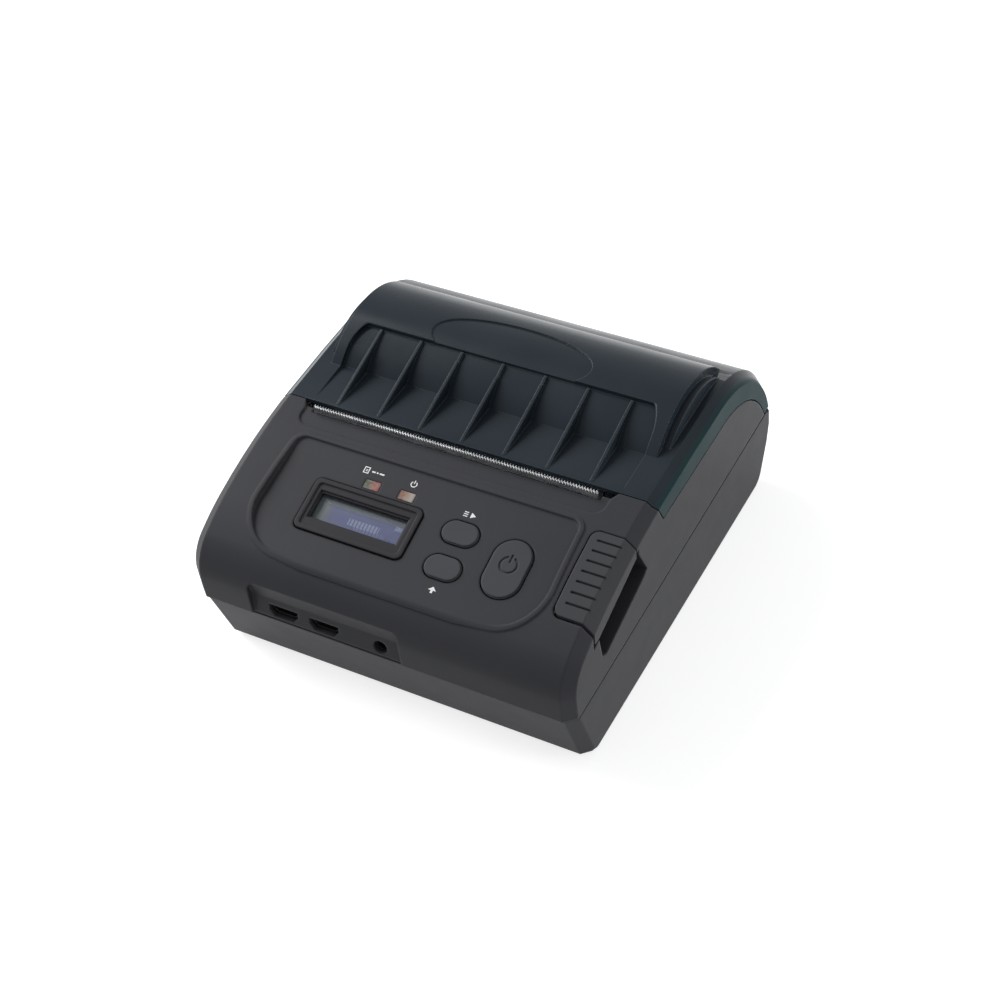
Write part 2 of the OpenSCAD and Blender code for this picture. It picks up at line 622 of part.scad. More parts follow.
// flat face for the sockets, let into the nose, with a slope above it
module port_recess() {
  intersection() {
    across(port_x0, port_x1) polygon([[-6, 14], [0.25, 14], [0.25, seam_front_z],
      [port_y + 0.3, port_z + 3.7], [-0.32, port_top], [-6, port_top + 18]]);
    translate([0, 9, 0]) rotate([90, 0, 0]) linear_extrude(18) {
      translate([port_x0, 0]) square([port_x1 - port_x0, port_top - 2.4]);
      translate([port_x0 + 2.4, 0]) square([port_x1 - port_x0 - 4.8, port_top]);
      for (x = [port_x0 + 2.4, port_x1 - 2.4]) translate([x, port_top - 2.4]) circle(2.4, $fn = 32);
    }
  }
}
module upper_case() {
  color("#3c3e42") shift() difference() {
    union() {
      intersection() { shell_part(); above_seam(0); }
      // raised bead round the control panel
      intersection() {
        body_form(-bead_h);
        linear_extrude(90) offset(r = bead_w) panel_plan();
        on_panel(-hw, -40) translate([0, 0, -0.5]) cube([case_w, 80, 20]);
      }
      intersection() {
        union() {
          // pads that carry the panel face under the skin
          difference() {
            on_panel(-1, 0.4) translate([11.6 - hw, -17.6, -pad_t]) cube([case_w - 23.2, 36.6, pad_t]);
            translate([-hw, -60, 0]) cube([case_w, 60.6, 90]);
          }
          // posts that carry the panel board
          for (p = board_posts) on_panel(p[0], p[1]) translate([0, 0, board_v]) tube(2, 0.8, -board_v);
          // inner walls of the finger recess
          across(finger_x - 1.6, hw - 1) offset(r = 1.6) finger_side();
          // wall beside the lever
          across(lever_x - gap - 1.6, lever_x - gap) polygon([[8.5, 33],
            [lever_y1 + gap + 1.6, 33], [lever_y1 + gap + 1.6, 60], [8.5, 60]]);
          translate([lever_x - gap - 1.6, lever_y0 - gap - 1.6, 33]) cube([10, 2.6, 20]);
          difference() {
            translate([lever_x - gap - 1.6, lever_y1 + gap, 36]) cube([10, 1.6, 20]);
            // slot that the release arm swings in
            translate([arm_x0 - 0.4, lever_y1, 35]) cube([arm_x1 - arm_x0 + 0.8, 4, 30]);
          }
          // ledge behind the port recess
          translate([port_x0 - 1.6, 0, seam_z(0)]) cube([port_x1 - port_x0 + 3.2, port_y + 2, port_top + 1 - seam_z(0)]);
          for (p = screw_spots) translate([p[0], p[1], seam_z(p[1])])
            cylinder(r = post_r, h = p[1] > 60 ? 10 : 60);
          for (s = [-1, 1]) translate([s > 0 ? hw - 5 : 1 - hw, 110, seam_z(111)]) cube([4, 2, 10]);
          // slotted rails that hold the roll tray
          for (y = web_spots, s = [0, 1]) mirror([s, 0, 0]) tray_rail(y);
        }
        body_form(wall - e);
        above_seam(0);
      }
      // lugs for the lever pin
      lever_lug(lever_x - gap - 1.6);
      lever_lug(finger_x - lug_t_lever);
      // tear bar seat behind the pocket
      tear_seat();
    }
    // flat panel face let into the roof
    intersection() {
      linear_extrude(90) panel_plan();
      on_panel(-hw, -40) cube([case_w, 80, 20]);
    }
    // shallow pocket in front of the slot
    difference() {
      translate([0, 0, 40]) linear_extrude(30) pocket_plan();
      body_form(0.5);
    }
    // paper slot and room for the platen
    translate([feed_x - slot_half, slot_y0, 40]) cube([2 * slot_half, lid_front - slot_y0 + 2, 20]);
    intersection() {
      linear_extrude(60) pocket_plan();
      translate([-hw, slot_y0 + 1.4, 46]) cube([case_w, 9, 20]);
    }
    key_holes(gap);
    on_panel(disp_x, disp_v) translate([0, 0, -6]) linear_extrude(12) round_rect(disp_l - 2, disp_w - 2, 1.2);
    on_panel(disp_x, disp_v) {
      translate([0, 0, -1.4]) linear_extrude(12)
        round_rect(disp_l + 2 * seat_gap, disp_w + 2 * seat_gap, 1.8);
      // shadow groove round the display frame
      translate([0, 0, -0.6]) linear_extrude(12) round_rect(disp_l + 0.8, disp_w + 0.8, 2.2);
    }
    for (x = [paper_lamp_x, power_lamp_x]) on_panel(x, lamp_v) translate([0, 0, -5]) linear_extrude(10)
      square([lamp_l + 2 * seat_gap, lamp_w + 2 * seat_gap], center = true);
    // lever bay: open skin, with the two pin lugs left standing
    difference() {
      intersection() {
        lever_bay(gap);
        across(lever_x - gap, hw + 3) lip_side(gap);
      }
      lever_lug(finger_x - lug_t_lever);
      translate([finger_x - lug_t_lever, 0, 0]) cube([lug_t_lever, 90, lever_ax_z - 0.8]);
    }
    across(finger_x, hw + 3) finger_side();
    // bore for the lever pin
    x_rod(lever_pin_r + 0.02, lever_x - gap - 2.6, finger_x + 0.2, lever_ax_y, lever_ax_z);
    // port recess and the three openings in it
    port_recess();
    for (x = [left_port_x, right_port_x]) translate([x, port_y + 4, port_z]) rotate([90, 0, 0])
      linear_extrude(9) scale(1.06) trapezoid(8.2, 3.4, 1.4);
    translate([jack_x, port_y + 4, port_z + 0.2]) rotate([90, 0, 0]) cylinder(r = 2, h = 9);
    for (x = [left_port_x, right_port_x]) translate([x - 4.3, port_y + 0.9, port_z - 2]) cube([8.6, 4, 3.9]);
    translate([jack_x - 3.1, port_y + 0.9, port_z - 2]) cube([6.2, 4, 4.4]);
    for (p = screw_spots) translate([p[0], p[1], seam_z(p[1]) - 1]) cylinder(r = screw_r + 0.02, h = 10);
  }
}
module tray_rail(y) {
  difference() {
    translate([hw - wall - rail_l, y - 1.5, web_z - 2]) cube([rail_l + 1, 4.6, 15]);
    translate([hw - wall - rail_l - 1, y - 0.1, web_z]) cube([rail_l + 1, 1.8, 15]);
  }
}
module tray_web(s, y) {
  x0 = s > 0 ? feed_x + bay_half + bay_t - 0.6 : wall + 0.2 - hw;
  x1 = s > 0 ? hw - wall - 0.2 : feed_x - bay_half - bay_t + 0.6;
  translate([x0, y, web_z]) cube([x1 - x0, 1.6, 14]);
}
// tub for the paper roll, its webs drop into the casing's rails
module roll_tray() {
  color("#36383c") shift() {
    bay_tub();
    for (x = arm_x) hinge_arm(x);
    for (y = web_spots, s = [-1, 1]) tray_web(s, y);
  }
}
module lever_lug(x) {
  x_rod(lever_end_r, x, x + lug_t_lever, lever_ax_y, lever_ax_z);
  across(x, x + lug_t_lever) polygon([[lever_ax_y - lever_end_r, lever_ax_z],
    [lever_ax_y + lever_end_r, lever_ax_z], [lever_ax_y + lever_end_r, 33],
    [lever_ax_y - lever_end_r, 33]]);
}
module tear_seat() {
  across(feed_x - slot_half, feed_x + slot_half)
    polygon([[slot_y0 - 2.8, top_z(slot_y0) - 1.6], [slot_y0, top_z(slot_y0) - 1.6],
      [slot_y0, top_z(slot_y0) - 4.4], [slot_y0 - 1, top_z(slot_y0) - 4.4]]);
}

// control panel
module panel_board() {
  color("#1f6b43") shift() on_panel(0, 0) translate([0, 0, board_v - board_t]) difference() {
    union() {
      translate([disp_x - 18.9, -11.6, 0]) cube([power_x - disp_x + 28.1, 25.2, board_t]);
      translate([key_x - 4.2, -11, -1.2]) cube([14, 5, 1.2 + e]);
    }
    for (p = board_posts) translate([p[0], p[1], -2]) cylinder(r = 1, h = 6);
  }
}
module key_switches() {
  color("#2a2b2d") shift() for (p = [[key_x, mode_v], [key_x, feed_v], [power_x, power_v]])
    on_panel(p[0], p[1]) translate([0, 0, board_v]) {
      translate([-3, -3, 0]) cube([6, 6, 2.4]);
      cylinder(r = 1.6, h = switch_h, $fn = 32);
    }
}
module display_frame() {
  color("#232427") shift() on_panel(disp_x, disp_v) difference() {
    union() {
      translate([0, 0, -1.4 + e]) linear_extrude(1.4 - e) round_rect(disp_l, disp_w, 1.8);
      linear_extrude(0.55) round_rect(disp_l, disp_w, 1.8);
    }
    // dished face between the outer ridge and the window
    translate([0, 0, 0.1]) linear_extrude(2) round_rect(disp_l - 2.4, disp_w - 2.4, 1);
    translate([-0.2, 0.3, -2]) linear_extrude(4) square([view_l, view_w], center = true);
    translate([-0.2, 0.3, -0.5]) linear_extrude(1) square([view_l + 1, view_w + 1], center = true);
  }
}
module display_window() {
  color([0.55, 0.6, 0.8, 0.5]) shift() on_panel(disp_x - 0.2, disp_v + 0.3) translate([0, 0, -2.2])
    linear_extrude(0.8) square([view_l + 1.6, view_w + 2.4], center = true);
}
module display_module() {
  color("#6f74a8") shift() on_panel(disp_x, disp_v) {
    translate([-disp_l / 2 + 1.4, -disp_w / 2 + 1.4, -6.4]) cube([disp_l - 2.8, disp_w - 2.8, 4.2]);
    for (i = [-1, 1], j = [-1, 1]) translate([i * (disp_l / 2 - 2.6), j * (disp_w / 2 - 2.6), board_v])
      cylinder(r = 0.8, h = -6.4 - board_v + e, $fn = 24);
  }
}
module lamp_lens(x) {
  on_panel(x, lamp_v) {
    translate([0, 0, -pad_t - 0.5]) linear_extrude(pad_t + 0.6) square([lamp_l, lamp_w], center = true);
    translate([0, 0, -pad_t - 0.9]) linear_extrude(0.88) square([lamp_l + 1, lamp_w + 1], center = true);
  }
}
module paper_lamp_lens() { color("#c8604c") shift() lamp_lens(paper_lamp_x); }
module power_lamp_lens() { color("#d8c8a8") shift() lamp_lens(power_lamp_x); }
// button cap with a skirt under the panel and a stem over its switch
module button(l, w) {
  translate([0, 0, -pad_t - 0.5]) linear_extrude(pad_t + 0.5 + key_out - 0.4) stadium(l, w);
  translate([0, 0, key_out - 0.4 - e]) linear_extrude(0.4) stadium(l - 0.5, w - 0.5);
  translate([0, 0, -pad_t - 1.3]) linear_extrude(1) stadium(l + 1.4, w + 1.4);
  translate([0, 0, -pad_t - stem_l]) cylinder(r = 1.4, h = stem_l, $fn = 32);
}
module mode_button() { color("#45474c") shift() on_panel(key_x, mode_v) button(key_l, key_w); }
module feed_button() { color("#45474c") shift() on_panel(key_x, feed_v) button(key_l, key_w); }
module power_button() {
  color("#45474c") shift() on_panel(power_x, power_v) difference() {
    button(power_l, power_w);
    // standby sign sunk into the cap
    translate([0, 1, key_out - 0.3]) linear_extrude(1) {
      difference() {
        circle(2.5);
        circle(1.95);
        translate([-0.8, 0]) square([1.6, 4]);
      }
      translate([-0.28, 0.6]) square([0.56, 2.4]);
    }
  }
}

// release lever
module release_lever() {
  n = groove_count;
  color("#3a3c40") shift() difference() {
    union() {
      intersection() {
        difference() {
          body_form(0);
          body_form(lever_t);
        }
        lever_bay(0);
        across(lever_x, hw + 1) difference() {
          lip_side(0);
          // front corner trimmed, so that it clears the side wall when it swings
          polygon([[lever_y0 - 1, 36], [lever_y0 - 1, lip_front[1] + 1.5],
            [lever_y0 + 0.2, lip_front[1] + 1.1], [lever_y0 + 2.4, lip_front[1] + 1.1],
            [lever_y0 + 2.4, 36]]);
        }
      }
      // pivot barrel and its web
      x_rod(lever_end_r, lever_x + 2, finger_x - lug_t_lever - gap, lever_ax_y, lever_ax_z);
      across(lever_x + 2, finger_x - lug_t_lever - gap) polygon([[lever_ax_y, lever_ax_z - lever_end_r],
        [lever_ax_y + 5, lever_ax_z - 0.4], [lever_y1 - 4, top_z(lever_y1 - 4) - lever_t + 0.2],
        [lever_y0 + 1.4, top_z(lever_y0) - lever_t + 0.2]]);
      // release arm, its tip under the end of the platen shaft
      across(arm_x0, arm_x1) polygon([[24, top_z(24) - lever_t - 0.4], [24, top_z(24) - 1.4],
        [lever_y1 - 1.2, top_z(lever_y1 - 1.2) - 1.4], [lever_y1 - 0.8, 42], [50.4, 31.8],
        [53.4, 30.7], [54.4, 29.6], [53.8, 28.6], [51, 29], [33.4, 40.6], [30, 43.6]]);
    }
    for (i = [0:n - 1]) let (y = lever_y0 + 3.4 + i * (lever_y1 - lever_y0 - 6) / (n - 1))
      translate([lever_x + 2, y - 0.3, top_z(y) - 0.6]) cube([bw - lever_x - 1.7, 0.6, 5]);
    // room for the spring
    x_rod(spring_r + spring_wire + 0.25, lever_x - 1, lever_x + 2, lever_ax_y, lever_ax_z);
    x_rod(lever_pin_r + 0.05, lever_x, finger_x, lever_ax_y, lever_ax_z);
    for (x = [lever_x - 3, finger_x - lug_t_lever])
      x_rod(lever_end_r + gap, x - gap, x + lug_t_lever + gap, lever_ax_y, lever_ax_z);
  }
}
module lever_pin() {
  color("#b8bbc0") shift() x_rod(lever_pin_r, lever_x - gap - 1.6, finger_x, lever_ax_y, lever_ax_z);
}
module lever_spring() {
  color("#b8bbc0") shift() translate([lever_x - 0.2, lever_ax_y, lever_ax_z]) rotate([0, 90, 0])
    coil(spring_r, spring_wire, 0.6, 2.9);
}

// print mechanism
module side_plate(x0, lobe) {
  difference() {
    across(x0, x0 + plate_t) difference() {
      polygon(concat([[wall_y, 39], [wall_y, 48.6], [49.6, 49], [59.4, 48.4], [59.4, 38],
        [56.4, 33], [56.4, frame_z0], [42, frame_z0]], lobe));
      translate([platen_y, platen_z]) circle(bearing_r + 0.3);
      translate([platen_y, platen_z]) rotate(-15.6) {
        translate([-bearing_r - 0.26, 0]) square([2 * bearing_r + 0.52, 9]);
      }
      translate([trunnion_y, trunnion_z]) circle(trunnion_r + 0.05);
    }
  }
}
module print_frame() {
  color("#9a9da2") shift() difference() {
    union() {
      translate([feed_x, 0, 0]) {
        side_plate(plate_in, []);
        side_plate(-plate_out, [[38.4, 26], [38, 35]]);
        translate([-plate_out, wall_y, 39.2]) cube([2 * plate_out, 1.2, 9.2]);
        translate([-plate_out, 51.4, frame_z0]) cube([2 * plate_out, 5, 1.4]);
        // bracket of the paper sensor
        translate([14, 50.2, frame_z0]) cube([12, 1.4, 36.2 - frame_z0]);
        translate([14, 50.2, frame_z0]) cube([12, 4, 1.4]);
      }
    }
    // motor boss hole
    x_rod(4.2, feed_x - plate_out - 1, feed_x - plate_in + 1, motor_y, motor_z);
    x_rod(stud_r, feed_x - plate_out - 1, feed_x - plate_in + 1, idler_y, idler_z);
    // windows in the cross wall
    for (i = [-1:1]) translate([feed_x + i * 20 - 4, wall_y - 1, 40.6]) cube([8, 4, 1.8]);
  }
}
module print_head() {
  color("#c7c9cc") shift() translate([feed_x, 0, 0]) {
    difference() {
      union() {
        translate([-path_half - 1.4, head_front, head_z0]) cube([2 * path_half + 2.8, head_t - 0.8, head_z1 - head_z0]);
        translate([-path_half, head_back - 0.8 - e, head_z0 + 3]) cube([2 * path_half, 0.8 + e, head_z1 - head_z0 - 3]);
        x_rod(trunnion_r, -plate_in - plate_t + 0.3, plate_in + plate_t - 0.3, trunnion_y, trunnion_z);
        translate([-9, head_front - 1.4, head_z0 - 2.6]) cube([18, 2.6, 4]);
      }
      // cooling slots
      for (i = [-5:5]) translate([i * (path_half - 4.75) / 5 - 2, head_front - 1, head_z1 - 4])
        cube([4, 1.8, 6]);
    }
  }
}
module head_springs() {
  color("#b8bbc0") shift() for (s = [-1, 1]) translate([feed_x + s * 24, wall_y + 1.25, 43])
    rotate([-90, 0, 0]) coil(1.7, 0.25, 0.72, 3.9);
}
module stepper_motor() {
  color("#77797d") shift() translate([feed_x - plate_in, motor_y, motor_z]) rotate([0, 90, 0]) {
    difference() {
      cylinder(r = motor_r, h = motor_l);
      translate([0, 0, 2]) tube(motor_r + 1, motor_r - 0.3, 1);
    }
    // boss and ears on the plate
    translate([0, 0, -plate_t]) tube(4, 1.3, plate_t + e);
    linear_extrude(0.8) for (s = [-1, 1]) rotate(s * 90 + 90) translate([motor_r + 1, 0]) circle(2);
  }
}
module motor_pinion() {
  color("#c9b36a") shift() {
    translate([feed_x - gear_in, motor_y, motor_z]) rotate([0, -90, 0]) rotate(pinion_turn)
      gear(pinion_teeth, gear_t, 1);
    x_rod(1, feed_x - gear_in - gear_t, feed_x - plate_in - 0.2, motor_y, motor_z);
  }
}
module idler_gear() {
  color("#e4e2da") shift() translate([feed_x - gear_in, idler_y, idler_z]) rotate([0, -90, 0])
    rotate(idler_turn) gear(idler_teeth, gear_t, stud_r + 0.05);
}
module idler_stud() {
  color("#b8bbc0") shift() {
    x_rod(stud_r, feed_x - gear_in - gear_t - 0.3, feed_x - plate_in, idler_y, idler_z);
    x_rod(stud_r + 0.8, feed_x - gear_in - gear_t - 0.9, feed_x - gear_in - gear_t - 0.3, idler_y, idler_z);
  }
}
module platen_roller() {
  color("#1a1b1d") shift() difference() {
    x_rod(platen_r, feed_x - path_half - 0.8, feed_x + path_half + 0.8, platen_y, platen_z);
    x_rod(shaft_r, feed_x - path_half - 2, feed_x + path_half + 2, platen_y, platen_z);
  }
}
module platen_shaft() {
  color("#b8bbc0") shift() difference() {
    x_rod(shaft_r, feed_x - gear_in - gear_t - 0.4, arm_x1 + 0.2, platen_y, platen_z);
    translate([feed_x - gear_in - gear_t - 1, platen_y - 3, platen_z + shaft_r - 0.35]) cube([gear_t + 1, 6, 2]);
  }
}
module platen_gear() {
  color("#e4e2da") shift() difference() {
    translate([feed_x - gear_in, platen_y, platen_z]) rotate([0, -90, 0]) gear(platen_teeth, gear_t, e * 10);
    difference() {
      x_rod(shaft_r, feed_x - gear_in - gear_t - 1, feed_x - gear_in + 1, platen_y, platen_z);
      translate([feed_x - gear_in - gear_t - 1, platen_y - 3, platen_z + shaft_r - 0.35]) cube([gear_t + 1, 6, 2]);
    }
  }
}
module platen_bearings() {
  color("#d8d2c0") shift() for (s = [-1, 1]) {
    x0 = s > 0 ? feed_x + lug_in : feed_x - plate_out;
    difference() {
      x_rod(bearing_r, x0, x0 + plate_out - lug_in, platen_y, platen_z);
      x_rod(shaft_r + 0.05, x0 - 1, x0 + 6, platen_y, platen_z);
    }
  }
}
module paper_sensor() {
  color("#202124") shift() translate([feed_x + 16, 51.6, 30]) {
    translate([0, 0, 1]) cube([8, 3.6, 4]);
    translate([-2, 0, 0]) cube([12, 1.6, 6]);
  }
}
module cover_switch() {
  color("#202124") shift() translate([4.4 - hw, 66.6, 42]) {
    cube([4.6, 8, 4]);
    translate([2.3, 5.6, 4 - e]) cylinder(r = 0.9, h = top_z(71) - lid_t - gap - 46, $fn = 24);
  }
}
module tear_bar() {
  n = floor(2 * bar_half / tear_pitch);
  p = 2 * bar_half / n;
  z0 = top_z(slot_y0) - 4.4;
  z1 = top_z(slot_y0) + 1.1;
  color("#d9dadb") shift() translate([feed_x, slot_y0 + 0.7, 0]) rotate([90, 0, 0]) linear_extrude(0.6)
    polygon(concat([[bar_half, z0], [bar_half, z1]],
      [for (i = [n - 1:-1:0]) each [[-bar_half + (i + 0.5) * p, z1 + 0.9], [-bar_half + i * p, z1]]],
      [[-bar_half, z0]]));
}

// roll cover
module bay_rod(r, x) { x_rod(r, -x, x, roll_y, roll_z); }
module fin(x) {
  across(x - fin_t / 2, x + fin_t / 2)
    polygon([[lid_front + 0.7, top_z(lid_front) - 0.6], [lid_front + 0.7, top_z(lid_front) + 0.2],
      [roll_y - 7.6, roll_z + 26.5], [roll_y - 7, roll_z + 25.4], [roll_y - 17, roll_z + 19]]);
}
module platen_lug(x) {
  intersection() {
    across(x, x + lug_t) {
      translate([platen_y, platen_z]) circle(bearing_r + 1.7);
      translate([platen_y - 4.2, platen_z]) square([9.4, 6.6]);
    }
    translate([-hw, lid_front + gap, 0]) cube([case_w, 40, 90]);
  }
}
// front of the dome, let in between the fins, with rounded upper corners
module dome_foot() {
  x = dome_half - 3;
  z = roll_z + dome_r * cos(14.5);
  difference() {
    intersection() {
      bay_rod(dome_r + 1, x);
      translate([0, roll_y - 7, 0]) rotate([90, 0, 0]) linear_extrude(40) {
        translate([-x, 0]) square([2 * x, z - 3.4]);
        translate([3.4 - x, 0]) square([2 * x - 6.8, z]);
        for (s = [-1, 1]) translate([s * (x - 3.4), z - 3.4]) circle(3.4, $fn = 32);
      }
    }
    bay_rod(dome_r - foot_in, dome_half + 2);
  }
}
// wedge taken off the top between the fins, down to the foot of the dome
module fin_floor() {
  x = dome_half - 3;
  difference() {
    across(-x, x) polygon([[lid_front + 1.6, 90], [lid_front + 1.6, top_z(lid_front + 1.6)],
      [roll_y - 16, top_z(roll_y - 16) - 1], [roll_y - 16, 90]]);
    bay_rod(dome_r - foot_in, dome_half + 2);
  }
}
module roll_cover() {
  n = (fin_count - 1) / 2;
  fin_pitch = (2 * dome_half - 9.2) / fin_count;
  color([0.2, 0.25, 0.3, 0.8]) shift() difference() {
    union() {
      intersection() {
        difference() {
          body_form(0);
          body_form(lid_t);
          fin_floor();
        }
        across(-hw - 1, hw + 1) lid_zone(0);
      }
      // roll dome with its end walls, each with a low step
      difference() {
        union() {
          bay_rod(dome_r, dome_half);
          bay_rod(dome_r - 2.4, dome_half + 2);
        }
        translate([-hw, 0, -1]) cube([case_w, 130, lid_low]);
        body_form(lid_t);
        dome_foot();
      }
      for (i = [-n:n]) fin(feed_x + 0.4 + i * fin_pitch);
      // barrels of the hinge
      intersection() {
        union() {
          for (r = [[-hw + 2.5, arm_x[0] - gap], [arm_x[0] + arm_w + gap, arm_x[1] - gap],
              [arm_x[1] + arm_w + gap, hw - 2.5]])
            x_rod(barrel_r, r[0], r[1], hinge_y, hinge_z);
        }
        body_form(0);
      }
      for (s = [-1, 1]) platen_lug(s > 0 ? feed_x + lug_in : feed_x - lug_in - lug_t);
    }
    // roll bay
    bay_rod(bay_r, dome_half - lid_t);
    // oval recess on the dome
    intersection() {
      translate([feed_x, roll_y, roll_z]) rotate([5.4, 0, 0]) linear_extrude(40)
        polygon([for (a = [0:7.5:352.5]) [badge_l / 2 * cos(a), badge_w / 2 * sin(a)]]);
      difference() {
        bay_rod(dome_r + 2, 40);
        bay_rod(dome_r - 0.4, 41);
      }
    }
    // hinge bore and room for the arms of the casing
    x_rod(pin_r + 0.05, -hw + 2.4, hw - 2.4, hinge_y, hinge_z);
    for (x = arm_x) {
      x_rod(barrel_r + gap, x - gap, x + arm_w + gap, hinge_y, hinge_z);
      translate([x - gap, hinge_y - 9, 20]) cube([arm_w + 2 * gap, 9, hinge_z - 20 + barrel_r]);
    }
    for (s = [-1, 1]) x_rod(bearing_r, feed_x + (s > 0 ? lug_in - 1 : -lug_in - lug_t - 1),
      feed_x + (s > 0 ? lug_in + lug_t + 1 : -lug_in + 1), platen_y, platen_z);
  }
}
module hinge_pin() {
  color("#b8bbc0") shift() x_rod(pin_r, -hw + 2.7, hw - 2.7, hinge_y, hinge_z);
}

lower_case();
upper_case();
roll_tray();
battery_cover();
battery_pack();
rubber_feet();
case_screws();
main_board();
left_data_socket();
right_data_socket();
power_jack();
panel_board();
display_frame();
display_window();
display_module();
paper_lamp_lens();
power_lamp_lens();
mode_button();
feed_button();
power_button();
key_switches();
release_lever();
lever_pin();
lever_spring();
print_frame();
print_head();
head_springs();
stepper_motor();
motor_pinion();
idler_gear();
idler_stud();
platen_roller();
platen_shaft();
platen_gear();
platen_bearings();
paper_sensor();
cover_switch();
tear_bar();
roll_cover();
hinge_pin();
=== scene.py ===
import math

import bmesh
import bpy
from mathutils import Matrix, Vector


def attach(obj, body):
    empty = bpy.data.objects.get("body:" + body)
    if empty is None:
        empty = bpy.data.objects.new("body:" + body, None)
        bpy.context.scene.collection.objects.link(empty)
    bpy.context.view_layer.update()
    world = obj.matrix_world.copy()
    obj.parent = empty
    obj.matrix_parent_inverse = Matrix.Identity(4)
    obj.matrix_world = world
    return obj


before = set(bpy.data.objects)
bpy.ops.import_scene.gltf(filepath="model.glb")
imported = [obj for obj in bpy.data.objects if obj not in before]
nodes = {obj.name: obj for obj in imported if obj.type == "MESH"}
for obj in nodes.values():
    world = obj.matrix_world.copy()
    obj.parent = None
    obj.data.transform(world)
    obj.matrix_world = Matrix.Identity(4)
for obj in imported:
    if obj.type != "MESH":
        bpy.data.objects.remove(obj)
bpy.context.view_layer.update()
print("frame loaded:", len(nodes), "nodes")

mm = 0.001

camera = {
    "aim": (0.629, 1.712, 20.0),  # mm, the point the photograph is centred on
    "azimuth": 31.798,
    "elevation": 43.763,
    "roll": -5.858,
    "distance": 536.869,  # mm
    "lens": 70.956,
    "sensor": 36.0,
}

panel = {
    "middle": (0.0, -42.567, 45.529),  # mm, the panel face's local origin
    "pitch": 16.5,
}


# the lens looks at the aim from the given angles, then rolls about its own axis
def aimCamera(c):
    a, e, r = (math.radians(c[k]) for k in ("azimuth", "elevation", "roll"))
    back = Vector((math.sin(a) * math.cos(e), -math.cos(a) * math.cos(e), math.sin(e)))
    right = (-back).cross(Vector((0, 0, 1))).normalized()
    up = right.cross(-back)
    across = right * math.cos(r) + up * math.sin(r)
    above = up * math.cos(r) - right * math.sin(r)
    place = (Vector(c["aim"]) + back * c["distance"]) * mm
    data = bpy.data.cameras.new("photoCamera")
    data.lens, data.sensor_width = c["lens"], c["sensor"]
    data.clip_start, data.clip_end = 0.02, 20
    cam = bpy.data.objects.new("photoCamera", data)
    bpy.context.scene.collection.objects.link(cam)
    turn = Matrix((across, above, back)).transposed().to_4x4()
    cam.matrix_world = Matrix.Translation(place) @ turn
    bpy.context.scene.camera = cam


aimCamera(camera)
print("camera set")


class Flow:
    # one socket of a node tree, so that shader maths reads as plain maths
    def __init__(self, net, socket):
        self.net, self.socket = net, socket

    def math(self, operation, *others, clamp=False):
        settings = {"operation": operation, "use_clamp": clamp}
        return self.net.add("ShaderNodeMath", settings, dict(enumerate((self,) + others)))

    def __add__(self, other):
        return self.math("ADD", other)

    def __sub__(self, other):
        return self.math("SUBTRACT", other)

    def __rsub__(self, other):
        return self.net.add("ShaderNodeMath", {"operation": "SUBTRACT"}, {0: other, 1: self})

    def __mul__(self, other):
        return self.math("MULTIPLY", other)

    def __truediv__(self, other):
        return self.math("DIVIDE", other)

    def __rtruediv__(self, other):
        return self.net.add("ShaderNodeMath", {"operation": "DIVIDE"}, {0: other, 1: self})

    def __gt__(self, other):
        return self.math("GREATER_THAN", other)

    def __lt__(self, other):
        return self.math("LESS_THAN", other)

    def __abs__(self):
        return self.math("ABSOLUTE")

    __radd__, __rmul__ = __add__, __mul__


class Net:
    # a node tree and the one way that nodes are put into it
    def __init__(self, tree):
        self.tree = tree

    def add(self, kind, settings=None, sockets=None, out=0):
        node = self.tree.nodes.new(kind)
        for key, value in (settings or {}).items():
            setattr(node, key, value)
        for key, value in (sockets or {}).items():
            if isinstance(value, Flow):
                self.tree.links.new(value.socket, node.inputs[key])
            else:
                node.inputs[key].default_value = value
        return Flow(self, node.outputs[out] if len(node.outputs) else None)

    def place(self):
        return self.add("ShaderNodeTexCoord", out="Object")

    def axis(self, name):
        return self.add("ShaderNodeSeparateXYZ", sockets={0: self.place()}, out=name)

    def stretched(self, scale):
        return self.add("ShaderNodeVectorMath", {"operation": "MULTIPLY"}, {0: self.place(), 1: scale})

    def noise(self, scale, detail=3.0, where=None):
        sockets = {"Vector": where or self.place(), "Scale": scale, "Detail": detail}
        return self.add("ShaderNodeTexNoise", sockets=sockets)

    def span(self, flow, low, high, start=0.0, end=1.0):
        return self.add("ShaderNodeMapRange", sockets={0: flow, 1: low, 2: high, 3: start, 4: end})

    def alike(self, one, other):
        # 1 where two directions agree, less as they part
        return self.add("ShaderNodeVectorMath", {"operation": "DOT_PRODUCT"}, {0: one, 1: other}, out="Value")

    def mix(self, factor, one, other):
        ends = {6: one, 7: other}
        for slot, colour in ends.items():
            if not isinstance(colour, Flow):
                ends[slot] = (*colour, 1)
        return self.add("ShaderNodeMix", {"data_type": "RGBA"}, {0: factor, **ends}, out=2)

    def seen(self):
        # 1 where the eye, a mirror or glass looks straight at the surface
        rays = [self.add("ShaderNodeLightPath", out=ray)
                for ray in ("Is Camera Ray", "Is Glossy Ray", "Is Transmission Ray")]
        return (rays[0] + rays[1]).math("ADD", rays[2], clamp=True)


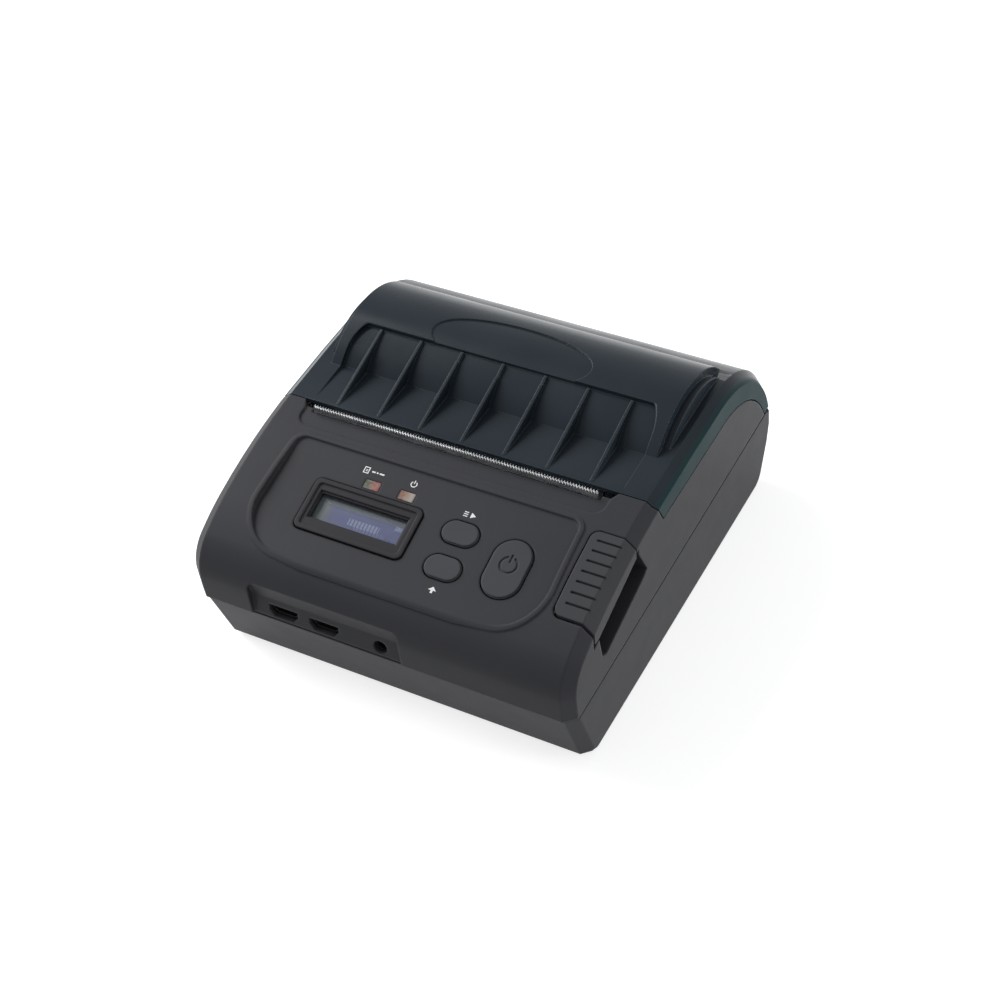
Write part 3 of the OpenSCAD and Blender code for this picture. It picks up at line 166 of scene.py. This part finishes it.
class Finish(Net):
    # a named material, its shader and the helpers that the paler edges and the grain need
    edgeBand = (0.995, 0.80)  # how alike the rounded and the flat normal are: no paler edge, full paler edge

    def __init__(self, name, **constants):
        self.material = bpy.data.materials.new(name)
        self.material.use_nodes = True
        super().__init__(self.material.node_tree)
        self.shader = self.tree.nodes["Principled BSDF"]
        for key, value in constants.items():
            self.shader.inputs[key.replace("_", " ")].default_value = value

    def feed(self, key, flow):
        self.tree.links.new(flow.socket, self.shader.inputs[key])

    def edges(self, radius):
        soft = self.add("ShaderNodeBevel", {"samples": 6}, {"Radius": radius})
        hard = self.add("ShaderNodeNewGeometry", out="Normal")
        return self.span(self.alike(soft, hard), *self.edgeBand), soft

    def bump(self, height, strength, depth, normal=None):
        sockets = {"Height": height, "Strength": strength, "Distance": depth}
        if normal:
            sockets["Normal"] = normal
        self.feed("Normal", self.add("ShaderNodeBump", {}, sockets))


mould = {
    # what all moulded pieces share: scales of the tone's drift and of the gloss clouds
    "drift": 28.0, "cloud": 160.0, "sway": 0.015, "edgeGloss": 0.08,
    "grainDepth": 0.04,  # mm
}


# textured moulding: fine grain, a faint drift of tone, edges a little paler as a painted highlight
def mouldedPlastic(name, look):
    f = Finish(name, IOR=1.5, Specular_IOR_Level=look["shine"])
    edge, soft = f.edges(look["edge"] * mm)
    drift = f.span(f.noise(mould["drift"], 4.0), 0.35, 0.65)
    tone = f.mix(drift, look["dark"], look["light"])
    # the worn colour mixed in along the edges is a painted edge highlight
    f.feed("Base Color", f.mix(edge * look["edgePaling"], tone, look["worn"]))
    low, high = look["rough"] - mould["sway"], look["rough"] + mould["sway"]
    rough = f.span(f.noise(mould["cloud"], 3.0), 0.3, 0.7, low, high)
    f.feed("Roughness", rough - edge * mould["edgeGloss"])
    f.bump(f.noise(look["grain"], 2.0), look["bump"], mould["grainDepth"] * mm, soft)
    return f.material


# each look's worn colour is the paler one painted along its edges as a highlight
casingLook = {
    "dark": (0.0345, 0.0350, 0.0395), "light": (0.0375, 0.0380, 0.0430), "worn": (0.070, 0.071, 0.078),
    "rough": 0.46, "shine": 0.08, "grain": 5200.0, "bump": 0.35, "edge": 0.8, "edgePaling": 0.40,
}
leverLook = dict(casingLook, dark=(0.046, 0.0465, 0.051), light=(0.051, 0.0515, 0.056), edge=0.5, rough=0.50)
doorLook = dict(casingLook, edge=0.3, rough=0.55)
keyLook = {
    "dark": (0.047, 0.048, 0.053), "light": (0.053, 0.054, 0.060), "worn": (0.080, 0.081, 0.088),
    "rough": 0.60, "shine": 0.10, "grain": 7000.0, "bump": 0.2, "edge": 0.5, "edgePaling": 0.5,
}
rimLook = {
    "dark": (0.022, 0.022, 0.025), "light": (0.027, 0.027, 0.030), "worn": (0.07, 0.07, 0.076),
    "rough": 0.42, "shine": 0.08, "grain": 7000.0, "bump": 0.15, "edge": 0.5, "edgePaling": 0.5,
}
socketLook = {
    "dark": (0.006, 0.006, 0.007), "light": (0.009, 0.009, 0.010), "worn": (0.03, 0.03, 0.032),
    "rough": 0.45, "shine": 0.3, "grain": 7000.0, "bump": 0.1, "edge": 0.2, "edgePaling": 0.5,
}
footLook = {
    "dark": (0.012, 0.012, 0.013), "light": (0.018, 0.018, 0.019), "worn": (0.05, 0.05, 0.05),
    "rough": 0.85, "shine": 0.3, "grain": 4000.0, "bump": 0.6, "edge": 0.5, "edgePaling": 0.6,
}
gearLook = {
    "dark": (0.62, 0.60, 0.54), "light": (0.68, 0.66, 0.60), "worn": (0.74, 0.72, 0.66),
    "rough": 0.42, "shine": 0.5, "grain": 3000.0, "bump": 0.1, "edge": 0.15, "edgePaling": 0.3,
}
bearingLook = dict(gearLook, dark=(0.42, 0.38, 0.30), light=(0.47, 0.43, 0.34))


# the worn colour here is the pale teal painted along the lid's edges as a highlight line
smokeLook = {
    "deep": (0.0155, 0.0215, 0.0280), "pale": (0.0210, 0.0285, 0.0360),
    "rim": (0.0050, 0.0270, 0.0290), "worn": (0.070, 0.095, 0.105),
    "rimFrom": 53.6, "rimFull": 54.5, "rimTint": 0.8,  # mm from the middle, where the side skirts are
    "rough": 0.24, "sideRough": 0.26, "edge": 0.4, "edgePaling": 0.6, "drift": 22.0, "smear": 55.0, "ripple": 30.0,
    "rollMiddle": (20.43, 32.8), "rollBand": (25.2, 27.3),  # mm, in the side view
}


# the recess under the dome is one roll: its facets take the roll's own normal
def rolledNormal(f, soft, look):
    across, up = look["rollMiddle"]
    back, height = f.axis("Y") - across * mm, f.axis("Z") - up * mm
    out = f.add("ShaderNodeCombineXYZ", {}, {0: 0.0, 1: back, 2: height})
    turned = {"vector_type": "NORMAL", "convert_from": "OBJECT", "convert_to": "WORLD"}
    roll = f.add("ShaderNodeVectorTransform", turned, {0: out})
    face = f.add("ShaderNodeNewGeometry", out="Normal")
    radius = (back * back + height * height).math("SQRT")
    inner, outer = look["rollBand"]
    on = (f.alike(roll, face) > 0.9) * (radius > inner * mm) * (radius < outer * mm)
    return f.add("ShaderNodeMix", {"data_type": "VECTOR"}, {0: on, 4: soft, 5: roll}, out=1)


# smoked moulding, opaque here: a blue-black body, greener at the side skirts, and a painted pale teal
# highlight along its edges
def smokedPlastic(look):
    f = Finish("smokedPlastic", IOR=1.40, Specular_IOR_Level=0.12)
    edge, soft = f.edges(look["edge"] * mm)
    side = f.span(abs(f.axis("X")), look["rimFrom"] * mm, look["rimFull"] * mm)
    drift = f.span(f.noise(look["drift"], 3.0), 0.35, 0.65)
    body = f.mix(drift, look["deep"], look["pale"])
    tint = f.mix(side * look["rimTint"], body, look["rim"])
    # the worn colour along the edges paints the pale teal highlight line
    f.feed("Base Color", f.mix(edge * look["edgePaling"], tint, look["worn"]))
    smear = f.span(f.noise(look["smear"], 5.0), 0.35, 0.75, look["rough"] - 0.03, look["rough"] + 0.08)
    f.feed("Roughness", smear + side * look["sideRough"])
    f.bump(f.noise(look["ripple"], 2.0), 0.2, 0.5 * mm, rolledNormal(f, soft, look))
    return f.material


metalWear = {
    "dim": 0.78, "bright": 1.12, "edgePaling": 0.5,
    "edge": 0.12, "lineDepth": 0.02,  # mm
}
metals = {
    # finish: colour, roughness, fineness of the drawn lines, and their run
    "plainSteel": ((0.60, 0.61, 0.63), 0.30, 2200.0, (1.0, 1.0, 1.0)),
    "screwSteel": ((0.35, 0.35, 0.37), 0.35, 2200.0, (1.0, 1.0, 1.0)),
    "frameSteel": ((0.48, 0.49, 0.50), 0.34, 900.0, (0.2, 1.0, 1.0)),
    "headAlloy": ((0.66, 0.67, 0.68), 0.36, 1500.0, (0.2, 1.0, 1.0)),
    "motorSteel": ((0.36, 0.37, 0.38), 0.32, 1400.0, (1.0, 0.2, 0.2)),
    "pinionBrass": ((0.70, 0.52, 0.24), 0.30, 2200.0, (1.0, 1.0, 1.0)),
    "bladeSteel": ((0.78, 0.79, 0.80), 0.28, 1200.0, (0.15, 1.0, 1.0)),
}


# steel, alloy or brass with fine drawn lines along one direction
def turnedMetal(name):
    colour, rough, scale, stretch = metals[name]
    f = Finish(name, Metallic=1.0)
    lines = f.noise(scale, 3.0, f.stretched(stretch))
    mask, soft = f.edges(metalWear["edge"] * mm)
    dim = tuple(c * metalWear["dim"] for c in colour)
    bright = tuple(min(1.0, c * metalWear["bright"]) for c in colour)
    tone = f.mix(f.span(lines, 0.3, 0.7), dim, colour)
    f.feed("Base Color", f.mix(mask * metalWear["edgePaling"], tone, bright))
    f.feed("Roughness", f.span(lines, 0.3, 0.7, rough - 0.06, rough + 0.08))
    f.bump(lines, 0.2, metalWear["lineDepth"] * mm, soft)
    return f.material


boardLook = {"mask": (0.012, 0.085, 0.035), "runs": (0.03, 0.16, 0.07), "cells": 60.0, "rough": (0.30, 0.42)}


# green board: solder mask over copper runs, seen as slightly raised paths
def boardFinish(look):
    f = Finish("boardGreen", Coat_Weight=0.3, Coat_Roughness=0.15)
    cells = f.add("ShaderNodeTexBrick", {"offset": 0.5}, {
        "Vector": f.place(), "Scale": look["cells"], "Mortar Size": 0.03,
        "Color1": (0, 0, 0, 1), "Color2": (0, 0, 0, 1), "Mortar": (1, 1, 1, 1)}, out="Fac")
    f.feed("Base Color", f.mix(cells, look["mask"], look["runs"]))
    f.feed("Roughness", f.span(f.noise(300.0), 0.3, 0.7, *look["rough"]))
    f.bump(cells, 0.3, 0.05 * mm)
    return f.material


wrapLook = {
    "film": (0.012, 0.035, 0.10), "caps": (0.010, 0.010, 0.011), "rough": (0.26, 0.40),
    "capFrom": 31.0, "capFull": 31.3,  # mm from the middle
}


# shrink film round the cells, with black end caps
def batteryWrap(look):
    f = Finish("batteryWrap", Coat_Weight=0.4, Coat_Roughness=0.1)
    ends = f.span(abs(f.axis("X")), look["capFrom"] * mm, look["capFull"] * mm)
    f.feed("Base Color", f.mix(ends, look["film"], look["caps"]))
    f.feed("Roughness", f.span(f.noise(90.0, 4.0), 0.3, 0.7, *look["rough"]))
    f.bump(f.noise(70.0, 2.0), 0.4, 0.4 * mm)
    return f.material


platenLook = {
    "dark": (0.012, 0.012, 0.013), "light": (0.026, 0.026, 0.027), "rough": (0.62, 0.80), "lines": 2600.0,
}


# ground rubber: fine rings round the roller
def platenRubber(look):
    f = Finish("platenRubber")
    lines = f.noise(look["lines"], 3.0, f.stretched((0.15, 1.0, 1.0)))
    f.feed("Base Color", f.mix(f.span(lines, 0.3, 0.7), look["dark"], look["light"]))
    f.feed("Roughness", f.span(lines, 0.3, 0.7, *look["rough"]))
    f.bump(lines, 0.35, 0.04 * mm)
    return f.material


windowLook = {"clear": (0.10, 0.11, 0.15), "hazed": (0.16, 0.17, 0.20), "haze": 0.06, "smear": (0.02, 0.10)}


# see-through pane with a little haze, so that the display shows behind it
def clearWindow(look):
    f = Finish("clearWindow", IOR=1.45, Specular_IOR_Level=0.12)
    smear = f.span(f.noise(120.0, 4.0), 0.4, 0.8, *look["smear"])
    f.feed("Base Color", f.mix(smear, look["clear"], look["hazed"]))
    f.feed("Alpha", smear * 0.5 + look["haze"])
    f.feed("Roughness", smear)
    return f.material


screenLook = {
    # places in mm on the panel: the screen's edges, where its lit part starts and ends
    "left": -28.3, "right": -2.9, "low": -2.6, "high": 4.7, "litFrom": -24.6, "litTo": 3.5,
    # a row of bars and a corner block: left, right, low, high, and the bars' pitch
    "row": (-18.4, -9.4, -0.5, 1.4), "corner": (-5.6, -3.7, 2.0, 3.2), "pitch": 1.0,
    "lit": (0.078, 0.092, 0.205), "unlit": (0.125, 0.150, 0.155), "shade": (0.05, 0.05, 0.06),
    "mark": (0.25, 0.29, 0.42), "markTint": 0.8, "glow": 0.18,
}


# where the shaded point is on the panel: across, and up the slope, in mm
def onPanel(f):
    t = math.radians(panel["pitch"])
    y, z = f.axis("Y"), f.axis("Z")
    along = (y - panel["middle"][1] * mm) * math.cos(t) + (z - panel["middle"][2] * mm) * math.sin(t)
    return f.axis("X") / mm, along / mm


# backlit screen: a lit field, one row of plain bars and a corner block
def screenFinish(look):
    f = Finish("screen", Roughness=0.35, Emission_Strength=look["glow"])
    u, v = onPanel(f)

    def within(x0, x1, y0, y1):
        return (u > x0) * (u < x1) * (v > y0) * (v < y1)

    inside = within(look["left"], look["right"], look["low"], look["high"])
    across = f.span(u, look["litFrom"] - 1.0, look["litFrom"] + 1.0)
    lit = across * f.span(v, look["litTo"] + 0.4, look["litTo"] - 0.4)
    glow = f.mix(lit, look["unlit"], look["lit"])
    ticks = ((u / look["pitch"]).math("FRACT") > 0.35) * within(*look["row"]) * look["markTint"]
    marked = ticks.math("ADD", within(*look["corner"]) * look["markTint"], clamp=True)
    shown = f.mix(inside, look["shade"], f.mix(marked, glow, look["mark"]))
    f.feed("Base Color", shown)
    f.feed("Emission Color", shown)
    f.feed("Roughness", f.span(f.noise(400.0), 0.3, 0.7, 0.3, 0.4))
    return f.material


lensLook = {
    # middle in mm from the panel's middle, and the colours of the lens's two ends
    "paperLens": {"middle": -16.2, "left": (0.060, 0.085, 0.050), "right": (0.25, 0.060, 0.050)},
    "powerLens": {"middle": -6.0, "left": (0.18, 0.080, 0.050), "right": (0.30, 0.26, 0.22)},
    "mist": (0.22, 0.21, 0.20), "rim": (0.05, 0.045, 0.045), "rimTint": 0.7,
    "blend": 1.3, "rimFrom": 1.7, "rimFull": 2.15,  # mm from the lens's middle
}


# cloudy lamp lens: its tone runs from one end to the other, with a dark rim
def lensFinish(name):
    f = Finish(name, IOR=1.45, Specular_IOR_Level=0.2, Emission_Strength=0.1)
    own = lensLook[name]
    u = f.axis("X") / mm - own["middle"]
    shade = f.span(u, -lensLook["blend"], lensLook["blend"])
    blotch = f.span(f.noise(900.0, 3.0), 0.35, 0.65, 0.0, 0.4)
    colour = f.mix(blotch, f.mix(shade, own["left"], own["right"]), lensLook["mist"])
    rim = f.span(abs(u), lensLook["rimFrom"], lensLook["rimFull"])
    shown = f.mix(rim * lensLook["rimTint"], colour, lensLook["rim"])
    f.feed("Base Color", shown)
    f.feed("Emission Color", shown)
    f.feed("Roughness", blotch * 0.4 + 0.2)
    f.bump(blotch, 0.2, 0.1 * mm)
    return f.material


def inkFinish(name, colour):
    f = Finish(name)
    speck = f.noise(5000.0, 2.0)
    f.feed("Base Color", f.mix(f.span(speck, 0.3, 0.7), tuple(c * 0.9 for c in colour), colour))
    f.feed("Roughness", f.span(speck, 0.3, 0.7, 0.45, 0.6))
    return f.material


finishes = {
    # finish: the pieces that wear it; every other piece is plain steel
    mouldedPlastic("casingPlastic", casingLook): ("lower_case", "upper_case", "roll_tray"),
    mouldedPlastic("doorPlastic", doorLook): ("battery_cover",),
    batteryWrap(wrapLook): ("battery_pack",),
    mouldedPlastic("footRubber", footLook): ("rubber_feet",),
    turnedMetal("screwSteel"): ("case_screws",),
    mouldedPlastic("socketBlack", socketLook): (
        "left_data_socket", "right_data_socket", "power_jack",
        "key_switches", "paper_sensor", "cover_switch"),
    mouldedPlastic("rimBlack", rimLook): ("display_frame",),
    clearWindow(windowLook): ("display_window",),
    screenFinish(screenLook): ("display_module",),
    lensFinish("paperLens"): ("paper_lamp_lens",),
    lensFinish("powerLens"): ("power_lamp_lens",),
    mouldedPlastic("keyRubber", keyLook): ("mode_button", "feed_button", "power_button"),
    mouldedPlastic("leverPlastic", leverLook): ("release_lever",),
    turnedMetal("frameSteel"): ("print_frame",),
    turnedMetal("headAlloy"): ("print_head",),
    turnedMetal("motorSteel"): ("stepper_motor",),
    turnedMetal("pinionBrass"): ("motor_pinion",),
    mouldedPlastic("gearPlastic", gearLook): ("idler_gear", "platen_gear"),
    platenRubber(platenLook): ("platen_roller",),
    mouldedPlastic("bearingPlastic", bearingLook): ("platen_bearings",),
    turnedMetal("bladeSteel"): ("tear_bar",),
    smokedPlastic(smokeLook): ("roll_cover",),
    boardFinish(boardLook): ("main_board", "panel_board"),
}
worn = {piece: finish for finish, pieces in finishes.items() for piece in pieces}
plainSteel = turnedMetal("plainSteel")
for name, node in nodes.items():
    node.data.materials.clear()
    node.data.materials.append(worn.get(name, plainSteel))
print("finishes on", len(nodes), "nodes")


marks = {
    "lift": 0.03, "sink": 0.01,  # mm that the ink stands off the face, and reaches into it
    # centres in mm on the panel
    "paper": (-16.9, 14.75), "power": (-5.8, 14.85), "mode": (12.3, 11.4), "feed": (12.4, -10.9),
    "ink": (0.72, 0.72, 0.72),
}


# a place on the panel: across, up its slope and off its face, in mm
def panelPoint(u, v, w):
    t = math.radians(panel["pitch"])
    x, y, z = panel["middle"]
    along = y + v * math.cos(t) - w * math.sin(t)
    above = z + v * math.sin(t) + w * math.cos(t)
    return Vector((x + u, along, above)) * mm


# thin ink shapes on the panel face, each a closed outline in mm from the centre
def printMark(name, centre, shapes):
    mesh = bmesh.new()
    for outline in shapes:
        low, top = ([mesh.verts.new(panelPoint(centre[0] + a, centre[1] + b, w)) for a, b in outline]
                    for w in (-marks["sink"], marks["lift"]))
        mesh.faces.new(top)
        mesh.faces.new(low[::-1])
        n = len(outline)
        for i in range(n):
            j = (i + 1) % n
            mesh.faces.new((low[i], low[j], top[j], top[i]))
    bmesh.ops.recalc_face_normals(mesh, faces=mesh.faces)
    data = bpy.data.meshes.new(name)
    mesh.to_mesh(data)
    mesh.free()
    piece = bpy.data.objects.new(name, data)
    bpy.context.scene.collection.objects.link(piece)
    data.materials.append(whiteInk)
    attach(piece, "base")
    return piece


def block(x0, y0, x1, y1):
    return [(x0, y0), (x1, y0), (x1, y1), (x0, y1)]


# a ring cut into short quads, so that each is a simple outline
def ringParts(radius, width, start, end, steps):
    parts = []
    for i in range(steps):
        a = math.radians(start + (end - start) * i / steps)
        b = math.radians(start + (end - start) * (i + 1) / steps)
        inner, outer = radius - width / 2, radius + width / 2
        parts.append([(outer * math.cos(a), outer * math.sin(a)), (outer * math.cos(b), outer * math.sin(b)),
                      (inner * math.cos(b), inner * math.sin(b)), (inner * math.cos(a), inner * math.sin(a))])
    return parts


# a row of short plain bars of different lengths
def bars(x, y, lengths, height, pitch):
    out = []
    for length in lengths:
        out.append(block(x, y, x + length, y + height))
        x += length + pitch
    return out


whiteInk = inkFinish("whiteInk", marks["ink"])
slip = [block(-3.6, -0.95, -3.35, 0.95), block(-3.35, 0.7, -2.2, 0.95), block(-3.35, -0.95, -2.0, -0.7),
        block(-2.25, -0.7, -2.0, 0.95), block(-3.0, 0.05, -2.5, 0.25), block(-3.0, -0.35, -2.5, -0.15)]
standby = ringParts(0.8, 0.26, 130, 410, 18) + [block(-0.13, 0.1, 0.13, 1.1)]
menu = [block(-1.9, -0.7, -0.7, -0.45), block(-1.9, -0.12, -0.7, 0.13), block(-1.9, 0.45, -0.7, 0.7)]
pointer = [(0.1, -0.8), (1.5, 0.0), (0.1, 0.8)]
arrow = [[(-1.1, -0.1), (1.1, -0.1), (0.0, 0.95)], block(-0.3, -0.9, 0.3, -0.12)]
printMark("paperMark", marks["paper"], slip + bars(-1.2, -0.2, (1.0, 0.5, 1.4), 0.4, 0.35))
printMark("powerMark", marks["power"], standby)
printMark("modeMark", marks["mode"], menu + [pointer])
printMark("feedMark", marks["feed"], arrow)
print("panel marks made")


# the moulded shells come in flat facets along their curves: shade them as one surface
smoothed = {
    "nodes": ("upper_case", "lower_case", "roll_cover", "release_lever", "battery_cover"),
    "joinWithin": 1e-7,  # metres
    "angle": 12.0,  # degrees above which an edge stays sharp
    "flatWeight": 50,
}


# joins coincident points, keeps true corners sharp and shades the rest along its curve
def makeSmoothing(look):
    group = bpy.data.node_groups.new("softShading", "GeometryNodeTree")
    for way in ("INPUT", "OUTPUT"):
        group.interface.new_socket("Geometry", in_out=way, socket_type="NodeSocketGeometry")
    net = Net(group)
    joined = {0: net.add("NodeGroupInput"), "Distance": look["joinWithin"]}
    whole = net.add("GeometryNodeMergeByDistance", {}, joined)
    turn = net.add("GeometryNodeInputMeshEdgeAngle")
    limit = math.radians(look["angle"])
    sharp = net.add("FunctionNodeCompare", {"operation": "GREATER_THAN"}, {0: turn, 1: limit})
    sockets = {0: whole, "Remove Custom": True, "Edge Sharpness": sharp}
    net.add("NodeGroupOutput", {}, {0: net.add("GeometryNodeSetMeshNormal", {}, sockets)})
    for name in look["nodes"]:
        nodes[name].modifiers.new("softShading", "NODES").node_group = group
        evened = nodes[name].modifiers.new("flatsStayFlat", "WEIGHTED_NORMAL")
        evened.mode, evened.weight, evened.keep_sharp = "FACE_AREA", look["flatWeight"], True


makeSmoothing(smoothed)
print("smooth shading on", len(smoothed["nodes"]), "nodes")


stage = {
    "floor": (0.55, 0.55, 0.55), "dim": 0.995, "drift": 1.5,
    "reach": 4.0, "corners": 24,  # metres from the middle, and corners of the round floor
    "melt": 0.74,  # light that the floor adds where it is seen, so that it meets the white behind it
    "sky": 0.46, "skyTint": (0.96, 0.98, 1.0, 1),
    "printer": (0.0, 0.0, 0.03),  # metres, where the lamps look
}
lamps = {
    # name: place in metres, size in metres, watts
    "topLamp": ((-0.92, 0.10, 0.80), (0.85, 0.85), 17.5),
    "sideLamp": ((1.00, 0.25, 0.16), (0.30, 0.30), 4.2),
}


def makeFloor(look):
    mesh = bmesh.new()
    turns = [2 * math.pi * i / look["corners"] for i in range(look["corners"])]
    rim = [(look["reach"] * math.cos(t), look["reach"] * math.sin(t), 0) for t in turns]
    mesh.faces.new([mesh.verts.new(corner) for corner in rim])
    data = bpy.data.meshes.new("floor")
    mesh.to_mesh(data)
    mesh.free()
    floor = bpy.data.objects.new("floor", data)
    bpy.context.scene.collection.objects.link(floor)
    f = Finish("floorPaint", Roughness=0.9, Specular_IOR_Level=0.1, Emission_Strength=look["melt"])
    tone = look["floor"]
    drift = f.span(f.noise(look["drift"], 2.0), 0.3, 0.7)
    f.feed("Base Color", f.mix(drift, tuple(c * look["dim"] for c in tone), tone))
    f.feed("Emission Color", f.mix(f.seen(), (0, 0, 0), (1, 1, 1)))
    data.materials.append(f.material)


# soft daylight on the printer, plain white where the eye sees past it
def makeWorld(look):
    world = bpy.data.worlds.new("studio")
    bpy.context.scene.world = world
    world.use_nodes = True
    world.node_tree.nodes.clear()
    net = Net(world.node_tree)
    plain = net.add("ShaderNodeBackground", {}, {0: look["skyTint"], 1: look["sky"]})
    white = net.add("ShaderNodeBackground", {}, {0: (1, 1, 1, 1), 1: 1.0})
    sky = net.add("ShaderNodeMixShader", {}, {0: net.seen(), 1: plain, 2: white})
    net.add("ShaderNodeOutputWorld", {}, {0: sky})


def makeLamp(name, place, size, watts):
    data = bpy.data.lights.new(name, "AREA")
    data.shape, data.size, data.size_y, data.energy = "RECTANGLE", size[0], size[1], watts
    lamp = bpy.data.objects.new(name, data)
    bpy.context.scene.collection.objects.link(lamp)
    lamp.location = place
    back = Vector(place) - Vector(stage["printer"])
    lamp.rotation_euler = back.to_track_quat("Z", "Y").to_euler()


makeFloor(stage)
makeWorld(stage)
for name, setting in lamps.items():
    makeLamp(name, *setting)
print("stage and lamps set")

scene = bpy.context.scene
scene.view_settings.view_transform = "Standard"
